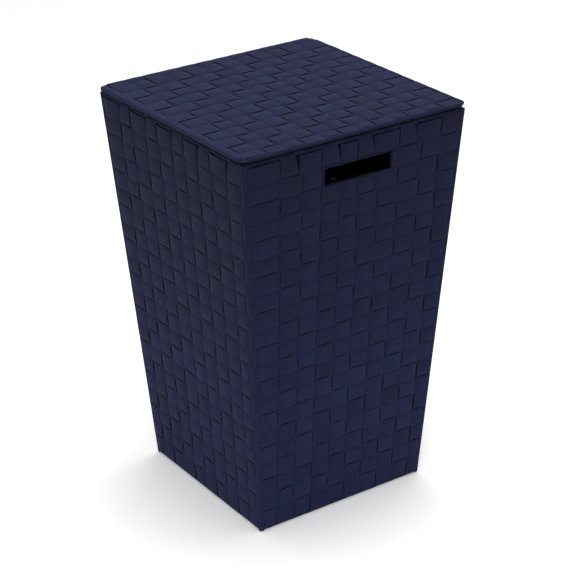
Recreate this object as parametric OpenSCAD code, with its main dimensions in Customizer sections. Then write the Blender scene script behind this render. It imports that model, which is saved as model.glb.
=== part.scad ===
// Woven strap laundry hamper: a tapered square bin of flat fabric straps
// on a steel wire frame, with a woven lid hinged along the back edge.
// +Z is up, the origin is the middle of the base, -Y is the front.

/* [Bin] */
// Outside width of the body at the rim
rim_w = 351; // [330:1:370]
// Outside width of the body at the floor
base_w = 273; // [260:1:290]
// Height of the body, floor to rim
body_h = 553.5; // [540:0.5:570]

/* [Lid] */
// Width of the lid, side to side
lid_w = 354; // [346:1:376]
// Thickness of the lid along its wrapped edge
lid_t = 8.5; // [8:0.5:10]
// Gap between the rim and the closed lid
lid_gap = 3; // [2:0.5:5]

/* [Straps] */
// Width of every flat strap
strap_w = 25.4; // [22:0.2:27]
// Thickness of a folded strap
strap_t = 1.5; // [1:0.1:2]
// Upright straps on each face
upright_count = 10; // [8:1:10]
// Straps each way across the lid
lid_count = 12; // [10:1:12]
// Hoop straps round the body
hoop_count = 21; // [19:1:21]
// How far the uprights draw in to the middle at the rim
rim_pinch = 0.17; // [0:0.01:0.2]
// Bare wall between the outer uprights and the corners at the rim
rim_margin = 18.5; // [6:0.5:20]

/* [Frame] */
// Diameter of the steel wire
wire_d = 4; // [3:0.5:4]
// Width of the corner binding on each face
corner_w = 7; // [5:0.5:14]
// Height of the rolled rim binding
rim_h = 6; // [6:0.5:8]

/* [Handholds] */
// Clear width of each handhold
slot_w = 102; // [90:1:110]
// Width of the binding round a handhold
slot_trim = 1.6; // [1:0.1:2]

/* [Hinge] */
// Width of a fabric hinge tab
tab_w = 26; // [20:1:40]
// Length of a hinge tab sewn to the back wall
tab_drop = 24; // [16:1:25]
// Distance from the middle to each hinge tab
tab_x = 88; // [60:1:120]

/* [Hidden] */
HOOPS = [for (i = [1:hoop_count]) str("hoop_strap_", i < 10 ? "0" : "", i)];

$fn = 48;
navy = [0.11, 0.12, 0.22];
navy_light = [0.16, 0.17, 0.29];
steel = [0.55, 0.56, 0.58];

clear = 0.3;                            // play between neighbouring solids
tab_t = 1.2;                            // hinge tab thickness
lean = atan((rim_w - base_w) / 2 / body_h);
slant = body_h / cos(lean);             // height of a face along its slope
wire_r = wire_d / 2;
bore_r = wire_r + 0.1;                  // channel the wire lies in
rim_t = wire_d + 2 * strap_t;           // thickness of a rolled binding
base_h = 6;                             // height of the rolled base binding

// Hoops: the first reaches the rim, the last sits above the base binding
hoop_span = slant - base_h - 2 * clear;
hoop_pitch = hoop_span / hoop_count;
function hoop_v(i) = slant - clear - (i - 0.5) * hoop_pitch;
function half_w(v) = base_w / 2 + (rim_w - base_w) / 2 * v / slant;

// Uprights: evenly spaced at the floor, drawn in towards the handholds at the rim
floor_field = base_w - 4 * strap_t;
rim_field = rim_w - 2 * rim_margin;
function spread(s, pinch) = s - pinch * s * (1 - abs(s)) * (1 - abs(s));
function upright_s(k) = (2 * k - (upright_count - 1)) / upright_count;
function upright_u(k, v) =
    let(lo = upright_s(k) * floor_field / 2, hi = spread(upright_s(k), rim_pinch) * rim_field / 2)
    lo + (hi - lo) * v / slant;
upright_w = min(strap_w, floor_field / upright_count - 2);
upright_lo = base_h + clear;
upright_hi = slant - clear;

// Handholds: each takes the place of the second hoop across the middle
slot_row = 2;
slot_v = hoop_v(slot_row);
frame_h = hoop_pitch - clear;           // outside height of the handhold binding
frame_w = slot_w + 2 * slot_trim;       // outside width of the handhold binding
frame_t = 2 * strap_t + 1;              // thickness of the handhold binding

// Lid: its wrapped back edge stops a tab's thickness short of the full depth
lid_z = body_h + lid_gap;
lid_depth = lid_w - tab_t;
lid_y = -tab_t / 2;
lid_mid = lid_z + lid_t / 2;
lid_in_w = lid_w - 2 * lid_t;
lid_in_d = lid_depth - 2 * lid_t;

FRONT = 0;
RIGHT = 1;
BACK = 2;
LEFT = 3;

// Puts a child drawn flat, x along the face, y up its slope, z outwards, on a face
module on_face(f) {
    rotate([0, 0, 90 * f]) translate([0, -base_w / 2, 0]) rotate([90 + lean, 0, 0]) children();
}

// A flat strap whose middle line runs from (u0, v0) to (u1, v1) up a face
module rising_strap(u0, v0, u1, v1, w) {
    linear_extrude(strap_t)
        polygon([[u0 - w / 2, v0], [u0 + w / 2, v0], [u1 + w / 2, v1], [u1 - w / 2, v1]]);
}

// One face's length of a hoop, its ends mitred to the slope of the corners
module hoop_length(v, w) {
    lo = half_w(v - w / 2) - corner_w;
    hi = half_w(v + w / 2) - corner_w;
    linear_extrude(strap_t)
        polygon([[-lo, v - w / 2], [lo, v - w / 2], [hi, v + w / 2], [-hi, v + w / 2]]);
}

// A closed square ring of wire with rounded corners, lying flat
module wire_ring(w, d, r) {
    for (sx = [-1, 1]) translate([sx * w / 2, 0, 0])
        rotate([90, 0, 0]) cylinder(r = wire_r, h = d - 2 * r, center = true);
    for (sy = [-1, 1]) translate([0, sy * d / 2, 0])
        rotate([0, 90, 0]) cylinder(r = wire_r, h = w - 2 * r, center = true);
    for (q = [0:3]) {
        sx = (q == 0 || q == 3) ? 1 : -1;
        sy = (q < 2) ? 1 : -1;
        translate([sx * (w / 2 - r), sy * (d / 2 - r), 0]) rotate([0, 0, 90 * q])
            rotate_extrude(angle = 90) translate([r, 0]) circle(wire_r);
    }
}

// Four rolled bars round a square, each with a channel for the wire
module rolled_edge(w, d, t, h, corner) {
    for (s = [-1, 1]) {
        difference() {
            translate([0, s * (d / 2 - t / 2), 0]) cube([w - 2 * corner, t, h], center = true);
            translate([0, s * (d / 2 - t / 2), 0]) rotate([0, 90, 0])
                cylinder(r = bore_r, h = w, center = true);
        }
        difference() {
            translate([s * (w / 2 - t / 2), 0, 0]) cube([t, d - 2 * corner, h], center = true);
            translate([s * (w / 2 - t / 2), 0, 0]) rotate([90, 0, 0])
                cylinder(r = bore_r, h = d, center = true);
        }
    }
}

// The rim binding lies inside the straps, clear of the lean of the wall
rim_in = 2 * strap_t / cos(lean) + rim_h * tan(lean) + clear;
rim_out = rim_w - 2 * rim_in;
rim_wire_w = rim_out - rim_t;
base_wire_w = base_w - rim_t;
ring_r = 9;                             // bend radius of the wire rings

module rim_wire() {
    color(steel) translate([0, 0, body_h - rim_h / 2]) wire_ring(rim_wire_w, rim_wire_w, ring_r);
}

module base_wire() {
    color(steel) translate([0, 0, base_h / 2]) wire_ring(base_wire_w, base_wire_w, ring_r);
}

// A corner post leans with the corner, from the base wire up to the rim wire
post_in = 2 * strap_t + wire_r + 0.7;   // how far the post's axis is in from both faces
post_lo = base_h + clear;
post_hi = body_h - rim_h - clear;
module corner_post(sx, sy) {
    lo = half_w(post_lo / cos(lean)) - post_in;
    hi = half_w(post_hi / cos(lean)) - post_in - rim_in;
    run = (hi - lo) * sqrt(2);
    rise = post_hi - post_lo;
    turn = atan2(sy, sx);
    color(steel) translate([sx * lo, sy * lo, post_lo]) rotate([0, atan(run / rise), turn])
        cylinder(r = wire_r, h = sqrt(run * run + rise * rise));
}

module front_left_post() { corner_post(-1, -1); }
module front_right_post() { corner_post(1, -1); }
module back_right_post() { corner_post(1, 1); }
module back_left_post() { corner_post(-1, 1); }

// The strip folded round a corner: a flange on face f's far end and one on the next face
module corner_binding(f) {
    color(navy_light) {
        on_face(f) flange(1);
        on_face((f + 1) % 4) flange(-1);
    }
}

module flange(side) {
    v0 = base_h + clear;
    v1 = slant - clear;
    outer = clear / 2;
    inner = corner_w - clear;
    translate([0, 0, -strap_t]) linear_extrude(strap_t)
        polygon([[side * (half_w(v0) - inner), v0], [side * (half_w(v0) - outer), v0],
                 [side * (half_w(v1) - outer), v1], [side * (half_w(v1) - inner), v1]]);
}

module front_right_binding() { corner_binding(FRONT); }
module back_right_binding() { corner_binding(RIGHT); }
module back_left_binding() { corner_binding(BACK); }
module front_left_binding() { corner_binding(LEFT); }

// An upright passes behind every hoop, and stops either side of a handhold
module uprights(f, has_slot) {
    slot_lo = slot_v - frame_h / 2 - clear;
    slot_hi = slot_v + frame_h / 2 + clear;
    color(navy) on_face(f) translate([0, 0, -2 * strap_t]) for (k = [0:upright_count - 1]) {
        lo = upright_u(k, upright_lo);
        hi = upright_u(k, upright_hi);
        meets = abs(upright_u(k, slot_v)) - upright_w / 2 < frame_w / 2 + clear;
        if (has_slot && meets) {
            rising_strap(lo, upright_lo, upright_u(k, slot_lo), slot_lo, upright_w);
            rising_strap(upright_u(k, slot_hi), slot_hi, hi, upright_hi, upright_w);
        } else {
            rising_strap(lo, upright_lo, hi, upright_hi, upright_w);
        }
    }
}

module front_uprights() { uprights(FRONT, false); }
module right_uprights() { uprights(RIGHT, true); }
module back_uprights() { uprights(BACK, false); }
module left_uprights() { uprights(LEFT, true); }

// A hoop goes round all four faces, laid as one flat length to a face
module hoop_strap(i) {
    w = min(strap_w, hoop_pitch - clear);
    color(navy_light) for (f = [FRONT, RIGHT, BACK, LEFT]) on_face(f) translate([0, 0, -strap_t])
        if (i == slot_row && (f == RIGHT || f == LEFT)) {
            difference() {
                hoop_length(hoop_v(i), w);
                translate([0, hoop_v(i), 0])
                    cube([frame_w + 2 * clear, 2 * hoop_pitch, 4 * strap_t], center = true);
            }
        } else {
            hoop_length(hoop_v(i), w);
        }
}

// The woven base: one layer each way, wrapped over the base wire by the base binding
base_in = base_w - 2 * rim_t - 4 * clear;
module base_long_straps() {
    color(navy) for (k = [0:upright_count - 1])
        translate([(k - (upright_count - 1) / 2) * base_in / upright_count, 0, strap_t / 2])
            cube([base_in / upright_count - clear, base_in, strap_t], center = true);
}

module base_cross_straps() {
    color(navy_light) for (k = [0:upright_count - 1])
        translate([0, (k - (upright_count - 1) / 2) * base_in / upright_count, strap_t * 1.5])
            cube([base_in, base_in / upright_count - clear, strap_t], center = true);
}

module base_binding() {
    color(navy) translate([0, 0, base_h / 2])
        rolled_edge(base_w, base_w, rim_t, base_h, rim_t + ring_r);
}

module rim_binding() {
    color(navy_light) translate([0, 0, body_h - rim_h / 2])
        rolled_edge(rim_out, rim_out, rim_t, rim_h, rim_t + ring_r);
}

// The binding rolled over a handhold's edges: two rails and two ends
module handle_binding(f) {
    rail_y = frame_h / 2 - slot_trim / 2;
    end_x = frame_w / 2 - slot_trim / 2;
    color(navy_light) on_face(f) translate([0, slot_v, -frame_t / 2]) {
        for (s = [-1, 1]) translate([0, s * rail_y, 0])
            cube([frame_w, slot_trim, frame_t], center = true);
        for (s = [-1, 1]) translate([s * end_x, 0, 0])
            cube([slot_trim, frame_h - 2 * slot_trim, frame_t], center = true);
    }
}

module right_handle_binding() { handle_binding(RIGHT); }
module left_handle_binding() { handle_binding(LEFT); }

// The wire frame that stiffens a handhold, welded square, lies just inside the wall
module handle_wire(f) {
    wire_w = frame_w + wire_d;
    wire_h = frame_h + wire_d;
    color(steel) on_face(f) translate([0, slot_v, -2 * strap_t - wire_r - clear]) {
        for (s = [-1, 1]) translate([0, s * wire_h / 2, 0])
            rotate([0, 90, 0]) cylinder(r = wire_r, h = wire_w + wire_d, center = true);
        for (s = [-1, 1]) translate([s * wire_w / 2, 0, 0])
            rotate([90, 0, 0]) cylinder(r = wire_r, h = wire_h, center = true);
    }
}

module right_handle_wire() { handle_wire(RIGHT); }
module left_handle_wire() { handle_wire(LEFT); }

// Hinge tabs: sewn to the back wall below the gap, and to the lid's back edge above it
module hinge_tabs_lower() {
    color(navy) for (s = [-1, 1]) on_face(BACK)
        translate([s * tab_x - tab_w / 2, slant - tab_drop, clear])
            cube([tab_w, tab_drop, tab_t]);
}

module hinge_tabs_upper() {
    color(navy) for (s = [-1, 1])
        translate([s * tab_x - tab_w / 2, lid_w / 2 - tab_t, lid_z])
            cube([tab_w, tab_t, lid_t - 1]);
}

module lid_wire() {
    color(steel) translate([0, lid_y, lid_mid])
        wire_ring(lid_w - lid_t, lid_depth - lid_t, ring_r);
}

module lid_long_straps() {
    color(navy) for (k = [0:lid_count - 1])
        translate([(k - (lid_count - 1) / 2) * lid_in_w / lid_count, lid_y, lid_mid + strap_t / 2])
            cube([min(strap_w, lid_in_w / lid_count - clear), lid_in_d - clear, strap_t], center = true);
}

module lid_cross_straps() {
    color(navy_light) for (k = [0:lid_count - 1])
        translate([0, lid_y + (k - (lid_count - 1) / 2) * lid_in_d / lid_count, lid_mid - strap_t / 2])
            cube([lid_in_w - clear, min(strap_w, lid_in_d / lid_count - clear), strap_t], center = true);
}

module lid_binding() {
    color(navy) translate([0, lid_y, lid_mid])
        rolled_edge(lid_w, lid_depth, lid_t, lid_t, lid_t + ring_r);
}

rim_wire();
base_wire();
front_left_post();
front_right_post();
back_right_post();
back_left_post();
front_left_binding();
front_right_binding();
back_right_binding();
back_left_binding();
front_uprights();
right_uprights();
back_uprights();
left_uprights();
base_long_straps();
base_cross_straps();
base_binding();
rim_binding();
right_handle_wire();
right_handle_binding();
left_handle_wire();
left_handle_binding();
hinge_tabs_lower();
lid_wire();
lid_long_straps();
lid_cross_straps();
lid_binding();
hinge_tabs_upper();
for (i = [1:hoop_count]) hoop_strap(i);
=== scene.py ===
"""A woven strap laundry hamper: flat navy fabric straps over a wire frame, with a hinged woven lid.

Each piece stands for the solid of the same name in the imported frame. Lengths are in metres.
"""

import math
import random

import bpy
import numpy as np
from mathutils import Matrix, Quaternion, Vector


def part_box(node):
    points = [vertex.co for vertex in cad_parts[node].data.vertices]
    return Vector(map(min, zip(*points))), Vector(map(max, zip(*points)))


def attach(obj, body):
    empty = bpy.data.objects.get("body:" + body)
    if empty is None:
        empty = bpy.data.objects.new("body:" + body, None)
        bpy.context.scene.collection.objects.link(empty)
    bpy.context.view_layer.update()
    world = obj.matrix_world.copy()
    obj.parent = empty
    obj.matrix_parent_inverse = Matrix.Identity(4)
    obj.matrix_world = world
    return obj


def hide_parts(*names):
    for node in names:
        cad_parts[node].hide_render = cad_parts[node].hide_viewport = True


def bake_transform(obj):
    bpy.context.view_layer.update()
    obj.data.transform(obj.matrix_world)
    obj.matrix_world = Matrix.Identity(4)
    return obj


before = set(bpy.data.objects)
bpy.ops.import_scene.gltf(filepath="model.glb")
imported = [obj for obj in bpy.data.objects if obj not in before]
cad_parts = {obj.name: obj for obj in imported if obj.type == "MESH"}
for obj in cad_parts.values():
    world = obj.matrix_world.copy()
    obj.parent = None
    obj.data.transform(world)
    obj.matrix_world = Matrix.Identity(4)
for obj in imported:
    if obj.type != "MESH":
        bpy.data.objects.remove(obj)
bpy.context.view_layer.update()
MM = 0.001

# ---------------------------------------------------------------- sizes taken from the frame
RIM_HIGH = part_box("rim_binding")[1]
TOP_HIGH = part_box("hoop_strap_01")[1]
BASE_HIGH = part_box("base_binding")[1]
LID_LOW, LID_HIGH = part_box("lid_binding")
BODY_H = RIM_HIGH.z
RIM_HALF = TOP_HIGH.x
BASE_HALF = BASE_HIGH.x
LEAN = math.atan((RIM_HALF - BASE_HALF) / BODY_H)
SLANT = BODY_H / math.cos(LEAN)
HOOP_NODES = sorted(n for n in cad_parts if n.startswith("hoop_strap_"))
HOOP_V = [sum(c.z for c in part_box(n)) / 2 / math.cos(LEAN) for n in HOOP_NODES]
HOOP_V = [v - 2.3 * MM * (v / SLANT) ** 3 for v in HOOP_V]      # the top rows are beaten down
HOOP_PITCH = (HOOP_V[0] - HOOP_V[-1]) / (len(HOOP_V) - 1)
FRONT, RIGHT, BACK, LEFT = range(4)
FACE_NAMES = ["front", "right", "back", "left"]
SLOT_FACES = (RIGHT, LEFT)
SLOT_ROW = 2
SLOT_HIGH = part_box("right_handle_binding")[1]

# ---------------------------------------------------------------- the weave's own measures
STRAP_T = 1.0 * MM          # thickness of a strap
CAD_LAYER = 1.5 * MM        # depth of one layer of straps in the frame
CORNER_W = 5.5 * MM         # flange of a corner binding
UPRIGHTS = 10               # upright straps on a face
UPRIGHT_W = 28.0 * MM       # width of an upright, where its neighbours leave room
PLAY = 0.5 * MM             # least room between an upright and its neighbour
UNDERLAP = 0.5 * MM         # how far the outer uprights reach under a corner binding
HOOP_W = HOOP_PITCH + 0.3 * MM     # width of a hoop
SEAM = 0.5 * MM             # opening left on one side of each upright
CORNER_DIP = -2.1 * MM      # depth of a hoop where it runs under a corner binding
TUCK_RUN = 6 * MM           # length over which a hoop goes down to that depth
WEDGE = 4.6 * MM            # opening beside the straps that are pulled aside at the rim
WALL_MID = -CAD_LAYER       # middle of the woven wall, measured outwards from its face
RISE = 1.2 * MM             # how far a strap rises to pass over its neighbour
DOME = 0.6 * MM             # extra swell in the middle of each pass
CROWN = 0.4 * MM            # crown across the strap
SNAP = 0.28                 # softness of the step down at a neighbour's edge
WIRE_R = 2.0 * MM           # radius of the wires
RIM_LIFT = 3.9 * MM         # roll of the uprights over the rim wire, above the frame's rim
RIM_V = SLANT + RIM_LIFT    # height of the finished rim, up the slope
CORNER_R = 4.0 * MM         # bend of a hoop round a corner
SLOT_MID = 2.0 * MM         # middle and half width of a handhold with its tape
SLOT_HALF = SLOT_HIGH.y + 2.7 * MM
SLOT_V = HOOP_V[SLOT_ROW - 1] - 1.5 * MM     # height of its middle, up the slope
FINE = 0.8 * MM             # spacing of a path's points as it is laid out
STEP = 1.3 * MM             # spacing of the points along a finished strap

# First random seed of each kind of piece.
UPRIGHT_SEED, HOOP_SEED, CORNER_SEED, LID_SEED, LID_EDGE_SEED, BASE_SEED = range(100, 700, 100)

# Edges between the uprights in mm, along a face from left to right. The weaver packs them evenly
# at the floor, and draws them in to the handholds at the rim.
FLOOR_EDGES = (-135, -111, -83, -55, -26.5, 1, 29.5, 57.5, 84.5, 112.5, 135)
MIDDLE_EDGES = ((-145, -122, -87, -55, -22, 8, 40, 70, 104, 133, 157),
                (-141, -117, -86.5, -54.5, -26.5, 3.5, 32, 64, 95.5, 129.5, 152))
RIM_EDGES = ((-155, -125, -88, -57, -22, 8, 38, 70, 107, 138, 167),
             (-152, -121.5, -91, -56, -26.5, 0, 26.5, 63, 96, 134, 165))
MIDDLE_SHARE = 0.69         # height of the middle edges, as a share of the slope

LID_STRAPS = 12                  # straps each way on the lid
# Edges between the straps of the lid in mm, from the front edge back and from left to right.
LID_ROWS = (-163.5, -134, -108.5, -78.5, -49, -21.5, 4, 32, 59.5, 85, 112, 140.5, 169)
LID_COLUMNS = (-161, -129.5, -101, -72.5, -45, -16.5, 10, 40.5, 69, 98, 125.5, 153, 171)
LID_GAP = 0.9 * MM               # opening left on one side of each strap
LID_RISE = 1.5 * MM              # how far a strap of the lid rises to pass over another
LID_DOME = 0.3 * MM              # extra swell in the middle of each pass
LID_SAG = 1.2 * MM               # droop of the lid's front left corner
LID_TOP = LID_HIGH.z
LID_UNDER = LID_TOP - 6.0 * MM   # underside of the lid's edge
LID_MID = (LID_UNDER + LID_TOP) / 2
LID_HALF = LID_HIGH.x
LID_ROLL = (LID_TOP - LID_UNDER) / 2 - STRAP_T / 2   # bend of a strap over the lid wire
LID_BACK = LID_ROLL + STRAP_T / 2                    # distance of the wire from the lid's edge
LID_CENTRE_Y = (LID_LOW.y + LID_HIGH.y) / 2
LID_RING_X = LID_HALF - LID_BACK
LID_RING_Y = (LID_HIGH.y - LID_LOW.y) / 2 - LID_BACK
LID_PLANE = LID_TOP - 2.6 * MM   # middle of the lid's weave
LID_TUCK = 24 * MM               # strap end turned in under the lid
LID_LINE = 0.5545                # height above which no rim shade is painted, so the cloth keeps the lid's colour


# ---------------------------------------------------------------- mesh helpers
def sag(grid):
    """The lid's frame droops a little towards its front left corner."""
    left = np.clip((1 - grid[..., 0] / LID_HALF) / 2, 0, 1)
    front = np.clip((1 - grid[..., 1] / LID_HALF) / 2, 0, 1)
    grid[..., 2] -= LID_SAG * left * front
    return grid


class Cloth:
    """Collects strips of fabric or wire, each a grid of points, into one mesh."""

    def __init__(self):
        self.points, self.faces, self.uvs, self.tones, self.painted_shades = [], [], [], [], []
        self.count = 0

    def add(self, grid, along, across, closed=False, tone=0.5, pit=0.0):
        """grid is (rows, columns, 3). Columns always close on themselves; rows close if closed. pit is the
        shade painted at each point where it is tucked in under a neighbour, from 0 to 1."""
        rows, cols = grid.shape[:2]
        index = np.arange(rows * cols).reshape(rows, cols) + self.count
        last = rows if closed else rows - 1
        a = index[np.arange(last)]
        b = index[(np.arange(last) + 1) % rows]
        quads = np.stack([a, np.roll(a, -1, 1), np.roll(b, -1, 1), b], -1).reshape(-1, 4)
        self.faces += quads.tolist()
        if not closed:
            self.faces += [index[0][::-1].tolist(), index[-1].tolist()]
        self.points.append(np.array(grid).reshape(-1, 3))
        uv = np.stack(np.broadcast_arrays(along[:, None], across[None, :]), -1)
        self.uvs.append(uv.reshape(-1, 2))
        self.tones.append(np.full(rows * cols, tone))
        self.painted_shades.append(np.broadcast_to(pit, (rows, cols)).ravel())
        self.count += rows * cols

    def mesh(self, name, material, body, nodes):
        """Make the piece, which replaces the given nodes and rides on a body, if one is given."""
        data = bpy.data.meshes.new(name)
        points = np.concatenate(self.points)
        if body == "lid":
            points = sag(points)
        data.from_pydata(points.tolist(), [], self.faces)
        layer = data.uv_layers.new(name="strap")
        corners = np.empty(len(data.loops), np.int32)
        data.loops.foreach_get("vertex_index", corners)
        layer.data.foreach_set("uv", np.concatenate(self.uvs)[corners].astype(np.float32).ravel())
        tone = data.attributes.new("tone", "FLOAT", "POINT")
        tone.data.foreach_set("value", np.concatenate(self.tones).astype(np.float32))
        # painted shade in the creases, for the fabric to darken its colour by
        pit = data.attributes.new("pit", "FLOAT", "POINT")
        pit.data.foreach_set("value", np.concatenate(self.painted_shades).astype(np.float32))
        data.polygons.foreach_set("use_smooth", np.ones(len(data.polygons), bool))
        data.materials.append(material)
        data.update()
        piece = bpy.data.objects.new(name, data)
        bpy.context.scene.collection.objects.link(piece)
        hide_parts(*nodes)
        if body:
            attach(piece, body)
        return piece


# Across a strap: where the section's points lie, as a share of half its width, and how much of
# half the thickness each one has. The first half is the outer face and the second the inner one.
EDGE_X = np.array([-1.0, -0.985, -0.94, -0.8, -0.55, -0.28, 0.0, 0.28, 0.55, 0.8, 0.94, 0.985, 1.0])
EDGE_T = np.array([0.25, 0.72, 0.96, 1.0, 1.0, 1.0, 1.0, 1.0, 1.0, 1.0, 0.96, 0.72, 0.25])
SECTION_X = np.concatenate([EDGE_X, EDGE_X[::-1]])
SECTION_T = np.concatenate([EDGE_T, -EDGE_T[::-1]])


def tucked(step):
    """How far each point of a strap is tucked in, from the strap's height there, -1 to 1; this sets the
    painted shade in the creases.
    """
    outer = np.clip(0.25 - step, 0, 1)[:, None]
    inner = np.clip(0.25 + step, 0, 1)[:, None]
    return np.where(SECTION_T[None, :] > 0, outer, inner)


def alternate(at, knots, signs, edges, snap=SNAP):
    """Height from -1 to 1 along a strap, which has the sign of each knot there and steps between
    knots of different sign at the edge given between them. Also the dome over each pass."""
    at = np.asarray(at, float)
    place = np.clip(np.searchsorted(knots, at) - 1, 0, len(knots) - 2)
    low, high, edge = knots[place], knots[place + 1], edges[place]
    share = np.where(at < edge, 0.5 * (at - low) / (edge - low),
                     0.5 + 0.5 * (at - edge) / (high - edge))
    share = np.clip(share, 0, 1)
    wave = np.cos(math.pi * share)
    step = wave / np.sqrt(wave * wave + snap * (1 - wave * wave) + 1e-12)
    same = signs[place] == signs[place + 1]
    return (np.where(same, signs[place], signs[place] * step),
            np.where(same, signs[place] * 0.6, signs[place] * wave))


def arc(centre, radius, start, end, steps):
    """Points round a circle in the plane of a path, from angle start to end."""
    turn = np.linspace(start, end, steps)
    return np.stack([centre[0] + radius * np.cos(turn), centre[1] + radius * np.sin(turn)], -1)


def resample(path, step):
    """The same path with its points about a step apart."""
    leg = np.linalg.norm(np.diff(path, axis=0), axis=1)
    run = np.concatenate([[0], np.cumsum(leg)])
    keep = np.concatenate([[True], leg > 1e-9])
    count = max(3, int(run[-1] / step) + 1)
    even = np.linspace(0, run[-1], count)
    return np.stack([np.interp(even, run[keep], path[keep, i]) for i in range(path.shape[1])], -1), even


def left_of(path):
    """Unit vectors that point to the left of a flat path, one for each of its points."""
    tangent = np.gradient(path, axis=0)
    tangent /= np.linalg.norm(tangent, axis=1)[:, None]
    return np.stack([-tangent[:, 1], tangent[:, 0]], -1)


def outward_of(plan):
    """Unit vectors that point out of a closed plan, one for each of its points."""
    ahead = np.roll(plan, -1, 0) - np.roll(plan, 1, 0)
    ahead /= np.linalg.norm(ahead, axis=1)[:, None]
    return np.stack([ahead[:, 1], -ahead[:, 0]], -1)


def run_along(points):
    """Distance of each point from the first one, along the points."""
    return np.concatenate([[0], np.cumsum(np.linalg.norm(np.diff(points, axis=0), axis=1))])


def slow_noise(rng, length, step, size):
    """A gentle wander along a strap, in metres."""
    knots = np.arange(0, length + 2 * step, step)
    values = np.array([rng.uniform(-size, size) for _ in knots])
    return lambda s: np.interp(s, knots, values)


# ---------------------------------------------------------------- the wall's own coordinates
def turned(x, y, z, face):
    """Points laid out on the front face, turned round to another one."""
    turn = math.pi / 2 * face
    return np.stack([x * np.cos(turn) - y * np.sin(turn), x * np.sin(turn) + y * np.cos(turn), z], -1)


def off_face(v, w):
    """Distance from the middle of the hamper, and height, of a place v up a face and w outwards."""
    return (BASE_HALF + v * math.sin(LEAN) + w * math.cos(LEAN),
            v * math.cos(LEAN) - w * math.sin(LEAN))


def on_face(face, u, v, w):
    """Points on a face: u along it, v up its slope and w outwards from its outer surface."""
    u, v, w = np.broadcast_arrays(u, v, w)
    out, z = off_face(v, w)
    return turned(u, -out, z, face)


def half_width(v):
    """Half the width of a face at height v."""
    return BASE_HALF + (RIM_HALF - BASE_HALF) * v / SLANT


def edge_u(face, j, v):
    """Where edge j between the uprights of a face lies at height v."""
    heights = (0, MIDDLE_SHARE * SLANT, SLANT)
    places = (FLOOR_EDGES[j] * MM, MIDDLE_EDGES[face % 2][j] * MM, RIM_EDGES[face % 2][j] * MM)
    return np.interp(v, heights, places)


def upright_sides(face, k, v):
    """Left and right side of upright k. On the handhold faces it lies against its right edge."""
    left, right = edge_u(face, k, v), edge_u(face, k + 1, v)
    width = np.minimum(right - left - PLAY, UPRIGHT_W)
    limit = half_width(v) - CORNER_W + UNDERLAP
    if face in SLOT_FACES:
        left, right = right - width, np.minimum(right, limit)
    else:
        left, right = np.maximum(left, -limit), left + width
    if k == 0:
        left = -limit
    if k == UPRIGHTS - 1:
        right = limit
    return left, right


def hoop_over(face, k, row):
    """Whether the hoop passes over upright k of a face. Rows count from 1 at the rim."""
    return (face * UPRIGHTS + k + row) % 2 == 1


# ---------------------------------------------------------------- straps of the body
ROLL_R = WIRE_R + 0.2 * MM + STRAP_T / 2
ROLL_IN = WALL_MID - ROLL_R               # depth of a wire's centre behind the face
RING_R = 9 * MM                           # bend of the wire rings at their corners
TAIL = 22 * MM                            # strap end turned in over the rim


def upright_path(face, k, low, high, rolled_low, rolled_high):
    """(v, w) points up an upright from low to high, with its ends rolled over a wire or a rail."""
    rows = np.array(HOOP_V[::-1])
    signs = np.array([-1.0 if hoop_over(face, k, r) else 1.0 for r in range(len(rows), 0, -1)])
    knots = np.concatenate([[rows[0] - HOOP_PITCH], rows, [rows[-1] + HOOP_PITCH]])
    signs = np.concatenate([[1.0], signs, [signs[-1]]])
    edges = (knots[1:] + knots[:-1]) / 2
    v = np.arange(low, high, FINE)
    step, dome = alternate(v, knots, signs, edges)
    settle = np.clip((RIM_V - 4 * MM - v) / (6 * MM), 0, 1) * np.clip((v - 2 * MM) / (4 * MM), 0, 1)
    path = np.stack([v, WALL_MID + settle * (RISE * step + DOME * dome)], -1)
    if rolled_high:
        centre = (RIM_V - ROLL_R - STRAP_T / 2 - 0.3 * MM, ROLL_IN)
        over = arc(centre, ROLL_R, math.pi / 2, -math.pi / 2, 16)
        inner = np.array([[centre[0] - 6 * MM, ROLL_IN - 1.2 * MM],
                          [centre[0] - TAIL, ROLL_IN - 0.6 * MM]])
        path = np.concatenate([path[path[:, 0] < centre[0] - 3 * MM], over, inner])
    if rolled_low:
        centre = (ROLL_R + STRAP_T / 2, ROLL_IN)
        under = arc(centre, ROLL_R, math.pi, math.pi / 2, 10)
        inward = np.array([[STRAP_T / 2, ROLL_IN - 3.4 * MM]])
        path = np.concatenate([inward, under, path[path[:, 0] > centre[0] + 3 * MM]])
    return path


def pull_aside(v):
    """How far a strap is pulled aside at height v: nothing below the first hoop, most at the rim."""
    return WEDGE * np.clip((v - SLANT + HOOP_PITCH) / HOOP_PITCH, 0, 1)


def wedge_edges(face, v):
    """Edges beside which the first hoop shows an opening, and the side of the upright there."""
    side = 1 if face in SLOT_FACES else 0
    return [(float(upright_sides(face, k, v)[side]), 1.0 if side else -1.0)
            for k in range(1, UPRIGHTS - side) if not hoop_over(face, k, 1)]


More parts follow.
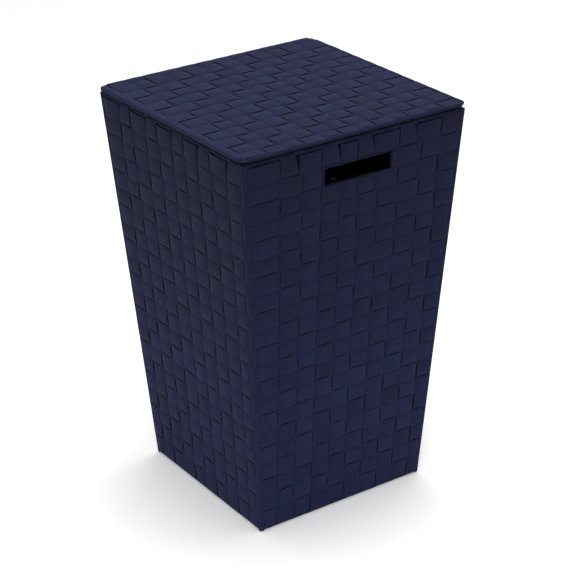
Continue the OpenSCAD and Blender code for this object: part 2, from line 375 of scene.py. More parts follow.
def sweep_upright(cloth, face, k, path, rng, from_u=None):
    """A strap laid along a path of (v, w) points up a face, kept right of from_u if it is given."""
    path, run = resample(path, STEP)
    v, w = path[:, 0], path[:, 1]
    normal = left_of(path)                    # outwards, for a strap that rises
    wander = slow_noise(rng, run[-1], 60 * MM, 0.35 * MM)(run)
    puff = slow_noise(rng, run[-1], 45 * MM, 0.12 * MM)(run)
    left, right = upright_sides(face, k, v)
    if from_u is not None:
        left = np.maximum(left, from_u)
    pulled = SEAM + (0 if hoop_over(face, k, 1) else pull_aside(v))
    if face in SLOT_FACES and k < UPRIGHTS - 1:
        right = right - pulled
    elif face not in SLOT_FACES and k > 0:
        left = left + pulled
    half = (right - left) / 2
    lift = np.sign(w - WALL_MID) * CROWN
    rise = (STRAP_T / 2 * SECTION_T[None, :]
            + lift[:, None] * (1 - SECTION_X[None, :] ** 2) + puff[:, None])
    u = ((left + right) / 2 + wander)[:, None] + half[:, None] * SECTION_X[None, :]
    grid = on_face(face, u, v[:, None] + normal[:, :1] * rise, w[:, None] + normal[:, 1:] * rise)
    across = SECTION_X * UPRIGHT_W / 2
    # painted shade where the upright is tucked in under a hoop
    cloth.add(grid, run + rng.uniform(0, 1), across, tone=rng.random(),
              pit=tucked((w - WALL_MID) / RISE))


def make_uprights(face, material):
    """The ten uprights of one face. Those at a handhold are cut, and stop at its rails."""
    cloth = Cloth()
    rng = random.Random(UPRIGHT_SEED + face)
    slot_v = HOOP_V[SLOT_ROW - 1]
    gap = HOOP_PITCH / 2 - 1.2 * MM
    for k in range(UPRIGHTS):
        low, high = 2 * MM, RIM_V - 2 * MM
        cut = face in SLOT_FACES and abs(sum(upright_sides(face, k, slot_v)) / 2) < SLOT_HIGH.y
        if cut:
            below = upright_path(face, k, low, slot_v - gap - 3 * MM, True, False)
            above = upright_path(face, k, slot_v + gap, high, False, True)
            sweep_upright(cloth, face, k, below, rng)
            sweep_upright(cloth, face, k, above, rng)
            if upright_sides(face, k, slot_v)[1] > SLOT_MID + SLOT_HALF + 3 * MM:
                beside = upright_path(face, k, slot_v - gap, slot_v + gap, False, False)
                sweep_upright(cloth, face, k, beside, rng, SLOT_MID + SLOT_HALF + 0.1 * MM)
        else:
            sweep_upright(cloth, face, k, upright_path(face, k, low, high, True, True), rng)
    name = FACE_NAMES[face] + "_uprights"
    cloth.mesh(name, material, "body", [name])


def hoop_face_height(face, row, u, v):
    """How far a hoop stands out from the face's surface, along one face."""
    half = half_width(v)
    sides = [upright_sides(face, k, v) for k in range(UPRIGHTS)]
    left = [float(a) for a, _ in sides] + [half - CORNER_W]
    right = [float(b) for _, b in sides] + [-half + CORNER_W]
    knots, signs, edges = [-half - 6 * MM], [-1.0], []
    for k in range(UPRIGHTS):
        over = hoop_over(face, k, row)
        knots.append((right[k - 1] + left[k + 1]) / 2 if over else (left[k] + right[k]) / 2)
        signs.append(1.0 if over else -1.0)
        edges.append(right[k - 1] if over else left[k])
    edges.append(left[UPRIGHTS] if signs[-1] > 0 else right[UPRIGHTS - 1])
    knots, signs, edges = np.array(knots + [half + 6 * MM]), np.array(signs + [-1.0]), np.array(edges)
    step, dome = alternate(u, knots, signs, edges)
    w = WALL_MID + RISE * step + DOME * dome
    tuck = np.clip((np.abs(u) - half + CORNER_W + TUCK_RUN / 2) / TUCK_RUN, 0, 1)
    return w + (CORNER_DIP - w) * tuck * tuck * (3 - 2 * tuck), step


def hoop_run(face, row, u0, u1, v):
    """One face's stretch of a hoop, as plan samples: face, u, turn round the corner, w, step."""
    u = np.linspace(u0, u1, max(4, int(abs(u1 - u0) / STEP)))
    w, step = hoop_face_height(face, row, u, v)
    return [(face, a, 0.0, b, c) for a, b, c in zip(u, w, step)]


def make_hoop(row, material):
    """A strap that goes once round the body. The second is cut by the handholds."""
    cloth = Cloth()
    rng = random.Random(HOOP_SEED + row)
    v = HOOP_V[row - 1]
    half = half_width(v)
    bend = half - CORNER_R
    slot_end = SLOT_HALF - 0.6 * MM
    runs = []
    for face in range(4):
        split = row == SLOT_ROW and face in SLOT_FACES
        if split:
            runs += [hoop_run(face, row, -bend, SLOT_MID - slot_end, v), None,
                     hoop_run(face, row, SLOT_MID + slot_end, bend, v)]
        else:
            runs.append(hoop_run(face, row, -bend, bend, v))
        runs.append([(face, bend, a, CORNER_DIP, -1.0) for a in np.linspace(0, math.pi / 2, 9)[1:-1]])
    strands, strand = [], []
    for run in runs:
        if run is None:
            strands.append(strand)
            strand = []
        else:
            strand += run
    if strands:
        strands[0] = strand + strands[0]
    else:
        strands = [strand]
    for strand in strands:
        sweep_hoop(cloth, strand, v, row, rng)
    name = HOOP_NODES[row - 1]
    cloth.mesh(name, material, "body", [name])


def sweep_hoop(cloth, strand, v, row, rng):
    """A strap laid along the plan samples of hoop_run, centred on height v of the slope."""
    face, u, turn, w, step = (np.array(c, float) for c in zip(*strand))
    closed = row != SLOT_ROW
    across = SECTION_X * HOOP_W / 2
    length = len(u) * STEP
    count = np.linspace(0, length, len(u))
    wander = slow_noise(rng, length, 70 * MM, 0.3 * MM)(count)
    puff = slow_noise(rng, length, 50 * MM, 0.12 * MM)(count)
    if closed:
        fade = np.clip(np.minimum(count, length - count) / (30 * MM), 0, 1)
        wander, puff = wander * fade, puff * fade
    slope = np.gradient(w) / np.maximum(np.abs(np.gradient(u)), 1e-5)
    slope = np.where(turn > 0, 0, np.clip(slope, -1.5, 1.5))
    lean_out = 1 / np.sqrt(1 + slope * slope)
    rise = STRAP_T / 2 * SECTION_T[None, :]
    crown = step[:, None] * CROWN * (1 - SECTION_X[None, :] ** 2)
    shift = -(slope * lean_out)[:, None] * rise
    height = w[:, None] + lean_out[:, None] * rise + crown + puff[:, None]
    # painted shade where the hoop is tucked in under an upright
    pit = tucked(step)
    # in the first row the hoop dips beside each pulled-aside upright, and the opening there is painted dark
    # as shade, darker towards the rim
    if row == 1:
        for side in range(4):
            for edge, hand in wedge_edges(side, v):
                inside = (edge - u) * hand
                near = (np.clip((inside + 0.9 * MM) / (1.6 * MM), 0, 1)
                        * np.clip((10 * MM - inside) / (4 * MM), 0, 1))
                near = near[:, None] * (face == side)[:, None]
                climb = across[None, :] / HOOP_W + 0.5
                height = height - near * (1.5 + 5.5 * climb) * MM
                pit = np.maximum(pit, near * np.clip(0.35 + 1.6 * climb, 0, 1.3))
    vv = v + wander[:, None] + across[None, :]
    out, z = off_face(vv, height)
    # a hoop's plan is square with round corners: scale u with the face's width at each height
    bend = out - CORNER_R
    spread = bend / (half_width(v) - CORNER_R)
    straight_x = u[:, None] * spread + shift
    corner = turn[:, None] > 0
    x = np.where(corner, bend + CORNER_R * np.sin(turn)[:, None], straight_x)
    y = np.where(corner, -bend - CORNER_R * np.cos(turn)[:, None], -out)
    grid = turned(x, y, z, face[:, None])
    run = run_along(grid[:, len(EDGE_X) // 2])
    cloth.add(grid, run + rng.uniform(0, 1), across, closed=closed, tone=rng.random(), pit=pit)


# ---------------------------------------------------------------- corners, rim, base and handholds
def make_corner_binding(face, name, material):
    """The strip folded over a corner post: a rounded ridge with a flange on each face."""
    cloth = Cloth()
    rng = random.Random(CORNER_SEED + face)
    v = np.arange(1.5 * MM, RIM_V - 1.2 * MM, 1.5 * MM)
    flange = CORNER_W - CORNER_R * 0.2
    part = 7                                  # points over each flange, and round the bend
    middle = (3 * part - 1) // 2
    overlap = CORNER_R * 0.8
    flat = np.linspace(-flange, -overlap, part)
    reach = np.concatenate([flat, np.zeros(part), -flat[::-1]])
    turn = np.concatenate([np.zeros(part), np.linspace(0, math.pi / 2, part), np.full(part, math.pi / 2)])
    outer = np.concatenate([[0.1], np.full(3 * part - 2, 1.0), [0.1]])
    beat = np.cos(math.pi * (v - HOOP_V[0]) / HOOP_PITCH)
    swell = 0.35 * MM                         # how far the strip rides up over each hoop
    grid = np.empty((len(v), 2 * len(reach), 3))
    ridge = CORNER_DIP + STRAP_T + 0.6 * MM
    for side, sign in ((0, 1.0), (1, -1.0)):
        order = range(len(reach)) if side == 0 else range(len(reach) - 1, -1, -1)
        for column, i in enumerate(order):
            far = abs(i - middle)
            swing = swell * beat * (1 if i < middle else -1) * min(1.0, far / (middle - 2))
            w = ridge - swell * (far / middle) ** 4 + swing + sign * STRAP_T / 2 * outer[i]
            out, z = off_face(v, w)
            core = out - CORNER_R
            if i < part:
                x, y = core + overlap + reach[i], -out
            elif i < 2 * part:
                x = core + CORNER_R * math.sin(turn[i])
                y = -core - CORNER_R * math.cos(turn[i])
            else:
                x, y = out, -(core + overlap - reach[i])
            grid[:, side * len(reach) + column] = np.stack([x, y, z], -1)
    grid = turned(grid[..., 0], grid[..., 1], grid[..., 2], face)
    ribbon = np.linspace(-flange, flange, len(reach))
    cloth.add(grid, v + rng.uniform(0, 1), np.concatenate([ribbon, ribbon[::-1]]), tone=0.55)
    cloth.mesh(name, material, "body", [name])


def ring_path(half_x, half_y, radius, step=3 * MM):
    """A square ring with round corners, as plan points from the middle of its front side."""
    legs = []
    for q, (cx, cy) in enumerate([(1, -1), (1, 1), (-1, 1), (-1, -1)]):
        angles = np.linspace(-math.pi / 2, 0, 9) + math.pi / 2 * q
        legs.append(np.stack([cx * (half_x - radius) + radius * np.cos(angles),
                              cy * (half_y - radius) + radius * np.sin(angles)], -1))
    points = np.concatenate(legs + [legs[0][:1]])
    even, _ = resample(points, step)
    return even[:-1]


def sweep_ring(cloth, plan, z, radius, count):
    """A closed round tube along a level plan, with count points round it."""
    turn = np.linspace(0, 2 * math.pi, count, endpoint=False)
    section = np.stack([radius * np.cos(turn), -radius * np.sin(turn)], -1)[::-1]   # (outwards, up)
    xy = plan[:, None, :] + outward_of(plan)[:, None, :] * section[None, :, :1]
    zz = np.broadcast_to(z + section[None, :, 1], xy.shape[:2])
    grid = np.concatenate([xy, zz[..., None]], -1)
    girth = np.linspace(0, 2 * math.pi * abs(section).max(), count, endpoint=False)
    cloth.add(grid, run_along(plan), girth, closed=True)


def make_body_ring(name, half, z, radius, count, material, slot):
    """A square ring of wire, or the tape wound close round it, at the rim or at the floor."""
    cloth = Cloth()
    sweep_ring(cloth, ring_path(half, half, RING_R), z, radius, count)
    cloth.mesh(name, material, "body", [name])


def lid_plan(bend):
    """The plan of the lid's wire, with the given bend at its corners."""
    return ring_path(LID_RING_X, LID_RING_Y, bend) + np.array([0, LID_CENTRE_Y])


def make_handle_binding(face, name, material):
    """Tape rolled over the edge of a handhold, all the way round."""
    cloth = Cloth()
    half_v = HOOP_PITCH / 2 + 1.75 * MM
    width, depth, bend = 1.8 * MM, 5.2 * MM, 1.5 * MM
    plan = ring_path(SLOT_HALF - width / 2, half_v - width / 2, bend, 1.2 * MM) + np.array([SLOT_MID, 0])
    outward = outward_of(plan)
    turn = np.linspace(0, 2 * math.pi, 16, endpoint=False)
    square = 0.62                             # below 1 the tape's section is squarer than an oval
    across = width / 2 * np.sign(np.cos(turn)) * np.abs(np.cos(turn)) ** square
    through = WALL_MID + 0.5 * MM + depth / 2 * np.sign(np.sin(turn)) * np.abs(np.sin(turn)) ** square
    u = plan[:, 0][:, None] + outward[:, 0][:, None] * across[None, :]
    v = SLOT_V + plan[:, 1][:, None] + outward[:, 1][:, None] * across[None, :]
    grid = on_face(face, u, v, np.broadcast_to(through[None, :], u.shape))
    cloth.add(grid[:, ::-1], run_along(plan), turn * width, closed=True, tone=0.6)
    cloth.mesh(name, material, "body", [name])


def tube(cloth, points, radius):
    """An open round tube along points."""
    points, run = resample(np.array(points, float), 3 * MM)
    ahead = np.gradient(points, axis=0)
    ahead /= np.linalg.norm(ahead, axis=1)[:, None]
    guide = np.array([0, 0, 1.0]) if abs(ahead[0][2]) < 0.9 else np.array([1.0, 0, 0])
    side = np.cross(ahead, guide)
    side /= np.linalg.norm(side, axis=1)[:, None]
    up = np.cross(side, ahead)
    turn = np.linspace(0, 2 * math.pi, 12, endpoint=False)
    grid = (points[:, None, :] + radius * (np.cos(turn)[None, :, None] * side[:, None, :]
                                           + np.sin(turn)[None, :, None] * up[:, None, :]))
    cloth.add(grid[:, ::-1], run, turn * radius)


# ---------------------------------------------------------------- the lid
def lid_path(low, high, signs, bound_low, bound_high, edges):
    """(along, z) points of a lid strap: over one edge, through the weave and over the other."""
    edges = np.array(edges) * MM
    knots = (edges[1:] + edges[:-1]) / 2
    ends = np.concatenate([[edges[0] - 6 * MM], knots, [edges[-1] + 6 * MM]])
    marks = np.concatenate([[1.0], signs, [1.0]])
    at = np.arange(low + 2 * LID_ROLL, high - 2 * LID_ROLL, FINE)
    step, dome = alternate(at, ends, marks, edges)
    path = np.stack([at, LID_PLANE + LID_RISE * step + LID_DOME * dome], -1)
    parts = [path]
    tucked_z = LID_PLANE - LID_RISE - LID_DOME - 1.0 * MM
    under_z = LID_UNDER + STRAP_T / 2 + 0.1 * MM
    if bound_high:
        centre = (high - LID_BACK, LID_MID)
        parts += [arc(centre, LID_ROLL, math.pi / 2, -math.pi / 2, 18),
                  np.array([[high - LID_TUCK / 2, under_z], [high - LID_TUCK, tucked_z]])]
    if bound_low:
        centre = (low + LID_BACK, LID_MID)
        parts = [np.array([[low + LID_TUCK, tucked_z], [low + LID_TUCK / 2, under_z]]),
                 arc(centre, LID_ROLL, math.pi * 1.5, math.pi / 2, 18)] + parts
    return np.concatenate(parts)


def sweep_lid_strap(cloth, path, middle, half, along_x, rng):
    """A strap laid along (along, z) points, with its middle line at a fixed place across."""
    path, run = resample(path, STEP)
    normal = left_of(path)
    wander = slow_noise(rng, run[-1], 60 * MM, 0.3 * MM)(run)
    puff = slow_noise(rng, run[-1], 45 * MM, 0.1 * MM)(run)
    lift = np.where(path[:, 1] > LID_PLANE, 1.0, -1.0) * CROWN * 0.5
    rise = (STRAP_T / 2 * SECTION_T[None, :] + lift[:, None] * (1 - SECTION_X[None, :] ** 2)
            + puff[:, None])
    along = path[:, :1] + normal[:, :1] * rise
    z = path[:, 1:] + normal[:, 1:] * rise
    z = np.clip(z, LID_UNDER - 0.2 * MM, LID_TOP + 0.3 * MM)
    across = middle + wander[:, None] + half * SECTION_X[None, :] * np.ones_like(along)
    grid = np.stack([along, across, z] if along_x else [across, along, z], -1)
    if along_x:
        grid = grid[:, ::-1]
    # painted shade where the lid strap is tucked in under a crossing strap
    pit = tucked((path[:, 1] - LID_PLANE) / LID_RISE)
    cloth.add(grid, run + rng.uniform(0, 1), SECTION_X * half, tone=rng.random(),
              pit=pit[:, ::-1] if along_x else pit)


def make_lid_straps(along_x, name, material):
    """Twelve straps one way across the lid, woven over and under the other twelve."""
    cloth = Cloth()
    rng = random.Random(LID_SEED + along_x)
    for i in range(LID_STRAPS):
        if along_x:          # i counts from the front edge
            own, crossed = LID_ROWS, LID_COLUMNS
            low, high = LID_LOW.x, LID_HIGH.x
            over = [(i + (LID_STRAPS - 1 - j)) % 2 == 1 for j in range(LID_STRAPS)]
        else:
            own, crossed = LID_COLUMNS, LID_ROWS
            low, high = LID_LOW.y, LID_HIGH.y
            over = [((LID_STRAPS - 1 - i) + j) % 2 == 0 for j in range(LID_STRAPS)]
        middle = (own[i] + own[i + 1]) / 2 * MM + (-LID_GAP if along_x else LID_GAP) / 2
        half = (own[i + 1] - own[i]) / 2 * MM - LID_GAP / 2
        signs = np.array([1.0 if o else -1.0 for o in over])
        path = lid_path(low, high, signs, along_x, True, crossed)
        sweep_lid_strap(cloth, path, middle, half, along_x, rng)
    cloth.mesh(name, material, "lid", [name])


def make_lid_binding(material):
    """Tape wound round the lid wire, and the flat strip folded over the front edge."""
    name = "lid_binding"
    cloth = Cloth()
    sweep_ring(cloth, lid_plan(6 * MM), LID_MID, LID_ROLL - STRAP_T / 2, 18)
    rng = random.Random(LID_EDGE_SEED)
    front = LID_LOW.y
    path = np.concatenate([
        np.array([[front + 10.0 * MM, LID_TOP - STRAP_T / 2 - 0.5 * MM],
                  [front + 8.5 * MM, LID_TOP - STRAP_T / 2]]),
        arc((front + LID_BACK, LID_MID), LID_ROLL, math.pi / 2, math.pi * 1.5, 18),
        np.array([[front + 11 * MM, LID_UNDER + STRAP_T / 2]])])
    path, girth = resample(path, 0.9 * MM)
    normal = -left_of(path)
    outer, inner = path + normal * STRAP_T / 2, path - normal * STRAP_T / 2
    loop = np.concatenate([outer, inner[::-1]])
    end = 9 * MM                              # the strip stops short of the corners
    x = np.arange(-LID_HALF + end, LID_HALF - end, 3 * MM)
    puff = slow_noise(rng, 1.0, 14 * MM, 0.12 * MM)(x + 0.5)
    grid = np.stack(np.broadcast_arrays(x[:, None], loop[None, :, 0], loop[None, :, 1] + puff[:, None]), -1)
    cloth.add(grid, x, np.concatenate([girth, girth[::-1]]), tone=0.9)
    cloth.mesh(name, material, "lid", [name])


def make_lid_wire(material):
    """The lid's wire ring, inside its rolled edge."""
    cloth = Cloth()
    sweep_ring(cloth, lid_plan(RING_R), LID_MID, LID_ROLL - STRAP_T / 2 - 0.15 * MM, 14)
    cloth.mesh("lid_wire", material, "lid", ["lid_wire"])


# ---------------------------------------------------------------- hinge tabs
def make_hinge_tab(side, name, material, nodes):
    """A fabric tab sewn to the back wall and to the lid's back edge, bent across the gap."""
    cloth = Cloth()
    low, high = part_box("hinge_tabs_lower"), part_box("hinge_tabs_upper")
    half = 13 * MM
    thick = 0.8 * MM
    x0 = side * (low[1].x - half)
    wall = [(low[1].y + 0.7 * MM + (z - low[1].z) * math.tan(LEAN), z)
            for z in np.linspace(low[0].z, low[1].z, 12)]
    behind = (high[0].y + high[1].y) / 2
    rise = [(behind, z) for z in np.linspace(high[0].z + 1 * MM, high[1].z - 2.5 * MM, 8)]
    path, run = resample(np.array(wall + rise), FINE)
    across = half * EDGE_X
    outer = np.stack(np.broadcast_arrays(
        x0 + across[None, :], path[:, :1] + thick / 2 * EDGE_T[None, :], path[:, 1:]), -1)
    inner = outer[:, ::-1].copy()
    inner[..., 1] = path[:, :1] - thick / 2 * EDGE_T[None, :]
    cloth.add(np.concatenate([outer, inner], 1)[:, ::-1], run, np.concatenate([across, across[::-1]]))
    piece = cloth.mesh(name, material, None, nodes)
    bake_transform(piece)


# ---------------------------------------------------------------- materials
TEAL_CAST = (0.93, 1.05, 1.02)
VIOLET_CAST = (1.07, 0.95, 0.98)


def new_group(name, inputs, outputs):
    """An empty shader node group with the given sockets: (name, type, default)."""
    group = bpy.data.node_groups.new(name, "ShaderNodeTree")
    for label, kind, value in inputs:
        socket = group.interface.new_socket(name=label, in_out="INPUT", socket_type=kind)
        socket.default_value = value
    for label, kind in outputs:
        group.interface.new_socket(name=label, in_out="OUTPUT", socket_type=kind)
    return group, group.nodes.new("NodeGroupInput"), group.nodes.new("NodeGroupOutput")


def math_node(tree, operation, a, b=None, clamp=False):
    """The result of a sum on two values, each a socket or a number."""
    node = tree.nodes.new("ShaderNodeMath")
    node.operation = operation
    node.use_clamp = clamp
    for socket, value in zip(node.inputs, (a, b)):
        if value is None:
            continue
        if isinstance(value, (int, float)):
            socket.default_value = value
        else:
            tree.links.new(value, socket)
    return node.outputs[0]


def noise(tree, where, scale, detail=2.0, roughness=0.5):
    """A noise texture's value over the given coordinates."""
    node = tree.nodes.new("ShaderNodeTexNoise")
    node.inputs["Scale"].default_value = scale
    node.inputs["Detail"].default_value = detail
    node.inputs["Roughness"].default_value = roughness
    tree.links.new(where, node.inputs["Vector"])
    return node.outputs[0]


def map_range(tree, value, low, high, to_low, to_high):
    """The value carried over from one range to another."""
    node = tree.nodes.new("ShaderNodeMapRange")
    for socket, number in zip(list(node.inputs)[1:5], (low, high, to_low, to_high)):
        socket.default_value = number
    tree.links.new(value, node.inputs[0])
    return node.outputs[0]


def mix_colours(tree, share, first, second):
    """A share between two colours."""
    node = tree.nodes.new("ShaderNodeMix")
    node.data_type = "RGBA"
    node.inputs[6].default_value = (*first, 1)
    node.inputs[7].default_value = (*second, 1)
    tree.links.new(share, node.inputs[0])
    return node.outputs[2]


def add_bump(tree, height, strength, distance, shader):
    """Relief on a material, from a height of 0 to 1 over a distance."""
    node = tree.nodes.new("ShaderNodeBump")
    node.inputs["Strength"].default_value = strength
    node.inputs["Distance"].default_value = distance
    tree.links.new(height, node.inputs["Height"])
    tree.links.new(node.outputs[0], shader.inputs["Normal"])


def strap_fabric_group():
    """Ribs along a strap, a fine fibre grain, cloudy shade, painted shade in the creases and towards the
    rim of the wall, and tinted places.
    """
    group, given, made = new_group(
        "strap_fabric", [("Rib Pitch", "NodeSocketFloat", 0.0012)],
        [(label, "NodeSocketFloat") for label in ("Height", "Shade", "Fleck", "Painted Crease Shade", "Painted Rim Shade", "Patch")])
    links, nodes = group.links, group.nodes
    uv = nodes.new("ShaderNodeUVMap")
    uv.uv_map = "strap"
    split = nodes.new("ShaderNodeSeparateXYZ")
    links.new(uv.outputs[0], split.inputs[0])
    # ribs run along the strap, so they repeat across it
    turns = math_node(group, "DIVIDE", split.outputs[1], given.outputs["Rib Pitch"])
    wobble = math_node(group, "MULTIPLY", noise(group, uv.outputs[0], 90), 0.9)
    turns = math_node(group, "ADD", turns, wobble)
    rib = math_node(group, "SINE", math_node(group, "MULTIPLY", turns, 2 * math.pi))
    rib = math_node(group, "ADD", math_node(group, "MULTIPLY", rib, 0.5), 0.5)
    # fibres: noise drawn out along the strap
    stretch = nodes.new("ShaderNodeCombineXYZ")
    links.new(math_node(group, "MULTIPLY", split.outputs[0], 260), stretch.inputs[0])
    links.new(math_node(group, "MULTIPLY", split.outputs[1], 1500), stretch.inputs[1])
    fibre = noise(group, stretch.outputs[0], 1.0, 4, 0.65)
    height = math_node(group, "ADD", math_node(group, "MULTIPLY", rib, 0.45),
                       math_node(group, "MULTIPLY", fibre, 0.55))
    links.new(height, made.inputs["Height"])
    links.new(math_node(group, "MULTIPLY", fibre, rib), made.inputs["Fleck"])
    # cloudy change of shade over a strap, a finer mottle, and each strap's own tone
    cloud = noise(group, uv.outputs[0], 38, 3)
    mottle = noise(group, uv.outputs[0], 260, 3, 0.6)
    tone = nodes.new("ShaderNodeAttribute")
    tone.attribute_name = "tone"
    shade = math_node(group, "ADD", math_node(group, "MULTIPLY", cloud, 0.6),
                      math_node(group, "MULTIPLY", tone.outputs["Fac"], 0.35))
    strong = math_node(group, "MULTIPLY", math_node(group, "SUBTRACT", mottle, 0.5), 2.6)
    links.new(math_node(group, "ADD", shade, strong), made.inputs["Shade"])
    # painted shade: straps are painted darker where they are tucked in under a neighbour
    pit = nodes.new("ShaderNodeAttribute")
    pit.attribute_name = "pit"
    dark = math_node(group, "MULTIPLY", pit.outputs["Fac"], 0.76)
    links.new(math_node(group, "SUBTRACT", 1.0, dark), made.inputs["Painted Crease Shade"])
    # painted shade: the wall's cloth is painted a little deeper in colour towards the rim than at the
    # floor, as less light reaches the top of the wall; the lid is left out
    place = nodes.new("ShaderNodeTexCoord")
    parts = nodes.new("ShaderNodeSeparateXYZ")
    links.new(place.outputs["Object"], parts.inputs[0])
    wear_and_painted_shade = map_range(group, parts.outputs[2], 0.06, 0.553, 1.20, 0.66)
    lid_part = math_node(group, "GREATER_THAN", parts.outputs[2], LID_LINE)
    wall_part = math_node(group, "MULTIPLY", math_node(group, "SUBTRACT", 1.0, lid_part), wear_and_painted_shade)
    links.new(math_node(group, "ADD", lid_part, wall_part), made.inputs["Painted Rim Shade"])
    # patches that lean a little towards teal or towards violet
    patch = noise(group, place.outputs["Object"], 24)
    links.new(map_range(group, patch, 0.35, 0.65, 0.0, 1.0), made.inputs["Patch"])
    return group


def fabric(name, dark, light, group, rib_pitch, sheen_tint):
    """A matte strap fabric between two colours, ribbed and grained, with a soft sheen, darkened by painted
    shade in the creases and towards the rim.
    """
    material = bpy.data.materials.new(name)
    material.use_nodes = True
    tree = material.node_tree
    nodes, links = tree.nodes, tree.links
    shader = nodes["Principled BSDF"]
    weave = nodes.new("ShaderNodeGroup")
    weave.node_tree = group
    weave.inputs["Rib Pitch"].default_value = rib_pitch
    share = math_node(tree, "ADD", math_node(tree, "MULTIPLY", weave.outputs["Shade"], 0.6),
                      math_node(tree, "MULTIPLY", weave.outputs["Fleck"], 0.7), clamp=True)
    tint = nodes.new("ShaderNodeVectorMath")
    tint.operation = "MULTIPLY"
    links.new(mix_colours(tree, share, dark, light), tint.inputs[0])
    links.new(mix_colours(tree, weave.outputs["Patch"], TEAL_CAST, VIOLET_CAST), tint.inputs[1])
    # painted shade: the colour is darkened where straps tuck under and towards the rim of the wall
    deepen = nodes.new("ShaderNodeVectorMath")
    deepen.operation = "SCALE"
    links.new(tint.outputs[0], deepen.inputs[0])
    links.new(math_node(tree, "MULTIPLY", weave.outputs["Painted Rim Shade"], weave.outputs["Painted Crease Shade"]),
              deepen.inputs["Scale"])
    links.new(deepen.outputs[0], shader.inputs["Base Color"])
    rough = math_node(tree, "SUBTRACT", 0.92, math_node(tree, "MULTIPLY", weave.outputs["Fleck"], 0.16))
    links.new(rough, shader.inputs["Roughness"])
    add_bump(tree, weave.outputs["Height"], 0.35, 0.35 * MM, shader)
    shader.inputs["Sheen Weight"].default_value = 0.06
    shader.inputs["Sheen Roughness"].default_value = 0.45
    shader.inputs["Sheen Tint"].default_value = (*sheen_tint, 1)
    shader.inputs["Specular IOR Level"].default_value = 0.12
    return material


def painted_wire(name, colour):
    """Dark powder-coated wire, with faint orange peel and small worn places."""
    material = bpy.data.materials.new(name)
    material.use_nodes = True
    tree = material.node_tree
    shader = tree.nodes["Principled BSDF"]
    where = tree.nodes.new("ShaderNodeTexCoord").outputs["Object"]
    peel = noise(tree, where, 900)
    # worn places in the paint of the wire; no shade is painted here
    wear_and_painted_shade = noise(tree, where, 120, 5)
    worn = [c * 2.2 for c in colour]
    tree.links.new(mix_colours(tree, wear_and_painted_shade, colour, worn), shader.inputs["Base Color"])
    rough = math_node(tree, "ADD", math_node(tree, "MULTIPLY", wear_and_painted_shade, 0.2), 0.32)
    tree.links.new(rough, shader.inputs["Roughness"])
    add_bump(tree, peel, 0.15, 0.1 * MM, shader)
    return material


def floor_material():
    """A pale, plain studio floor."""
    material = bpy.data.materials.new("studio_floor")
    material.use_nodes = True
    shader = material.node_tree.nodes["Principled BSDF"]
    shader.inputs["Base Color"].default_value = (0.94, 0.94, 0.94, 1)
    shader.inputs["Roughness"].default_value = 0.9
    shader.inputs["Specular IOR Level"].default_value = 0.1
    return material


# ---------------------------------------------------------------- camera, lights and floor
def aim(thing, target):
    """Turn a lamp towards a place."""
    thing.rotation_euler = (Vector(target) - thing.location).to_track_quat("-Z", "Y").to_euler()


def make_camera():
    """The camera, above the corner between the front and the right face."""
    azimuth, elevation, roll = math.radians(55.73), math.radians(25.2), math.radians(-1.01)
    distance, target = 2.609, Vector((0.0028, 0.004, 0.281))
    data = bpy.data.cameras.new("camera")
    data.sensor_width = 36
    data.lens = 117.8
    data.clip_start, data.clip_end = 0.05, 60
    camera = bpy.data.objects.new("camera", data)
    bpy.context.scene.collection.objects.link(camera)
    back = Vector((math.sin(azimuth) * math.cos(elevation), -math.cos(azimuth) * math.cos(elevation),
                   math.sin(elevation)))
    camera.location = target + back * distance
    camera.rotation_mode = "QUATERNION"
    camera.rotation_quaternion = (-back).to_track_quat("-Z", "Y") @ Quaternion((0, 0, 1), roll)
    bpy.context.scene.camera = camera


def area_light(name, place, target, size, power):
    """A white rectangular lamp that looks at a target."""
    data = bpy.data.lights.new(name, "AREA")
    data.shape = "RECTANGLE"
    data.size, data.size_y = size
    data.energy = power
    lamp = bpy.data.objects.new(name, data)
    lamp.location = place
    aim(lamp, target)
    bpy.context.scene.collection.objects.link(lamp)


def make_studio():
    """White surroundings, two lamps and a floor."""
    world = bpy.data.worlds.new("studio")
    world.use_nodes = True
    world.node_tree.nodes["Background"].inputs[0].default_value = (1.0, 1.0, 1.0, 1)
    world.node_tree.nodes["Background"].inputs[1].default_value = 0.85
    bpy.context.scene.world = world
    bpy.context.scene.view_settings.view_transform = "Standard"
    area_light("overhead", (-0.2, 0.3, 2.7), (0, 0, 0.4), (1.3, 1.3), 36)
    area_light("key", (1.75, -1.25, 1.8), (0, 0, 0.3), (0.7, 0.7), 23)
    data = bpy.data.meshes.new("floor")
    reach = 14.0
    data.from_pydata([(-reach, -reach, 0), (reach, -reach, 0), (reach, reach, 0), (-reach, reach, 0)],
                     [], [(0, 1, 2, 3)])
    data.materials.append(floor_material())
    floor = bpy.data.objects.new("floor", data)
    bpy.context.scene.collection.objects.link(floor)


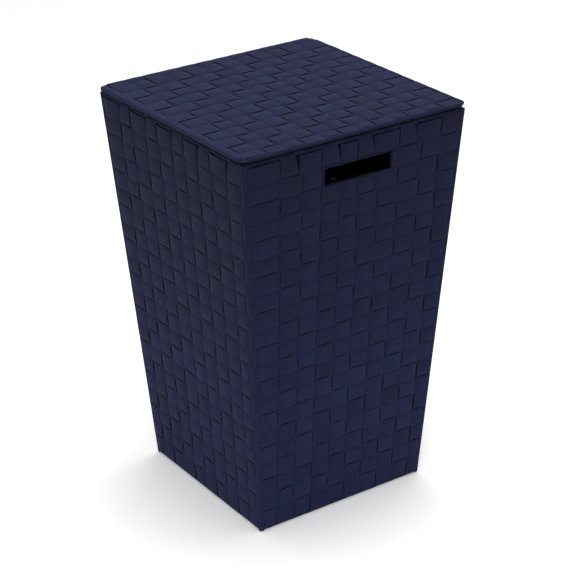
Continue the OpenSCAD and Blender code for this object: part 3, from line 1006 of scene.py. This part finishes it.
# ---------------------------------------------------------------- base
def make_base_straps(along_x, name, material):
    """Ten straps one way across the base, woven over and under the other ten."""
    cloth = Cloth()
    rng = random.Random(BASE_SEED + along_x)
    reach = BASE_HALF + ROLL_IN - 2.6 * MM
    plane, rise, half_thick = 1.75 * MM, 0.62 * MM, 0.45 * MM
    pitch = 2 * reach / UPRIGHTS
    flip = 1.0 if along_x else -1.0
    knots = np.array([-reach + pitch * (i + 0.5) for i in range(-1, UPRIGHTS + 1)])
    edges = (knots[1:] + knots[:-1]) / 2
    for i in range(UPRIGHTS):
        middle = -reach + pitch * (i + 0.5)
        signs = np.array([flip if (i + j) % 2 else -flip for j in range(-1, UPRIGHTS + 1)])
        at = np.arange(-reach, reach, 1.6 * MM)
        step, _ = alternate(at, knots, signs, edges, snap=0.3)
        z = plane + rise * step
        across = (pitch - 0.5 * MM) / 2 * SECTION_X
        zz = z[:, None] + half_thick * SECTION_T[None, :]
        along = np.broadcast_to(at[:, None], zz.shape)
        side = np.broadcast_to(middle + across[None, :], zz.shape)
        grid = np.stack([along, side, zz], -1)[:, ::-1] if along_x else np.stack([side, along, zz], -1)
        cloth.add(grid, at + rng.uniform(0, 1), across, tone=rng.random())
    cloth.mesh(name, material, "body", [name])


def make_post(name, sx, sy, material):
    """A corner post: wire from the base ring up to the rim ring, leaning with the corner."""
    cloth = Cloth()
    low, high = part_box(name)
    bottom = min(abs(low.x), abs(high.x)) + WIRE_R
    top = max(abs(low.x), abs(high.x)) - WIRE_R
    tube(cloth, [(sx * bottom, sy * bottom, low.z), (sx * top, sy * top, high.z)], WIRE_R)
    cloth.mesh(name, material, "body", [name])


def make_handle_wire(face, name, material):
    """The square wire frame behind a handhold's edge."""
    cloth = Cloth()
    depth = -2 * CAD_LAYER - WIRE_R - 0.3 * MM
    half_u, half_v = SLOT_HALF + WIRE_R + 1.4 * MM, HOOP_PITCH / 2 + WIRE_R + 3.4 * MM
    spacing = 1.5 * MM
    plan = ring_path(half_u, half_v, 4.0 * MM, spacing) + np.array([SLOT_MID, 0])
    outward = outward_of(plan)
    turn = np.linspace(0, 2 * math.pi, 12, endpoint=False)
    u = plan[:, :1] + outward[:, :1] * WIRE_R * np.cos(turn)
    v = SLOT_V + plan[:, 1:] + outward[:, 1:] * WIRE_R * np.cos(turn)
    grid = on_face(face, u, v, depth + WIRE_R * np.sin(turn)[None, :] * np.ones_like(u))
    cloth.add(grid[:, ::-1], np.arange(len(plan)) * spacing, turn * WIRE_R, closed=True)
    cloth.mesh(name, material, "body", [name])


# ---------------------------------------------------------------- make everything
make_camera()
make_studio()

FABRIC = strap_fabric_group()
STRAP = fabric("navy_strap", (0.0032, 0.0040, 0.0165), (0.0115, 0.0136, 0.0490), FABRIC, 1.25 * MM,
               (0.35, 0.38, 0.62))
BINDING = fabric("navy_binding", (0.0038, 0.0046, 0.0170), (0.0120, 0.0140, 0.0490), FABRIC, 1.0 * MM,
                 (0.35, 0.38, 0.60))
HINGE = fabric("hinge_fabric", (0.0034, 0.0040, 0.0140), (0.0085, 0.0100, 0.0330), FABRIC, 0.9 * MM,
               (0.3, 0.32, 0.5))
WIRE = painted_wire("steel_wire", (0.02, 0.02, 0.026))

for face in range(4):
    make_uprights(face, STRAP)
for row in range(1, len(HOOP_NODES) + 1):
    make_hoop(row, STRAP)
for face, name in ((FRONT, "front_right_binding"), (RIGHT, "back_right_binding"),
                   (BACK, "back_left_binding"), (LEFT, "front_left_binding")):
    make_corner_binding(face, name, BINDING)
for name, sx, sy in (("front_left_post", -1, -1), ("front_right_post", 1, -1),
                     ("back_right_post", 1, 1), ("back_left_post", -1, 1)):
    make_post(name, sx, sy, WIRE)

# half width and height of each ring of the body
RIM_RING = (RIM_HALF + ROLL_IN, BODY_H + RIM_LIFT - ROLL_R - STRAP_T / 2)
BASE_RING = (BASE_HALF + ROLL_IN, ROLL_R + STRAP_T / 2)
make_body_ring("rim_wire", *RIM_RING, WIRE_R, 14, WIRE, "steel_wire")
make_body_ring("base_wire", *BASE_RING, WIRE_R, 14, WIRE, "steel_wire")
make_body_ring("rim_binding", *RIM_RING, WIRE_R + 0.6 * MM, 18, BINDING, "navy_binding")
make_body_ring("base_binding", *BASE_RING, WIRE_R + 0.9 * MM, 18, BINDING, "navy_binding")
make_base_straps(True, "base_cross_straps", STRAP)
make_base_straps(False, "base_long_straps", STRAP)
for face in SLOT_FACES:
    make_handle_binding(face, FACE_NAMES[face] + "_handle_binding", BINDING)
    make_handle_wire(face, FACE_NAMES[face] + "_handle_wire", WIRE)

make_lid_straps(False, "lid_long_straps", STRAP)
make_lid_straps(True, "lid_cross_straps", STRAP)
make_lid_binding(BINDING)
make_lid_wire(WIRE)
make_hinge_tab(1, "right_hinge_tab", HINGE, ["hinge_tabs_lower", "hinge_tabs_upper"])
make_hinge_tab(-1, "left_hinge_tab", HINGE, ["hinge_tabs_lower", "hinge_tabs_upper"])
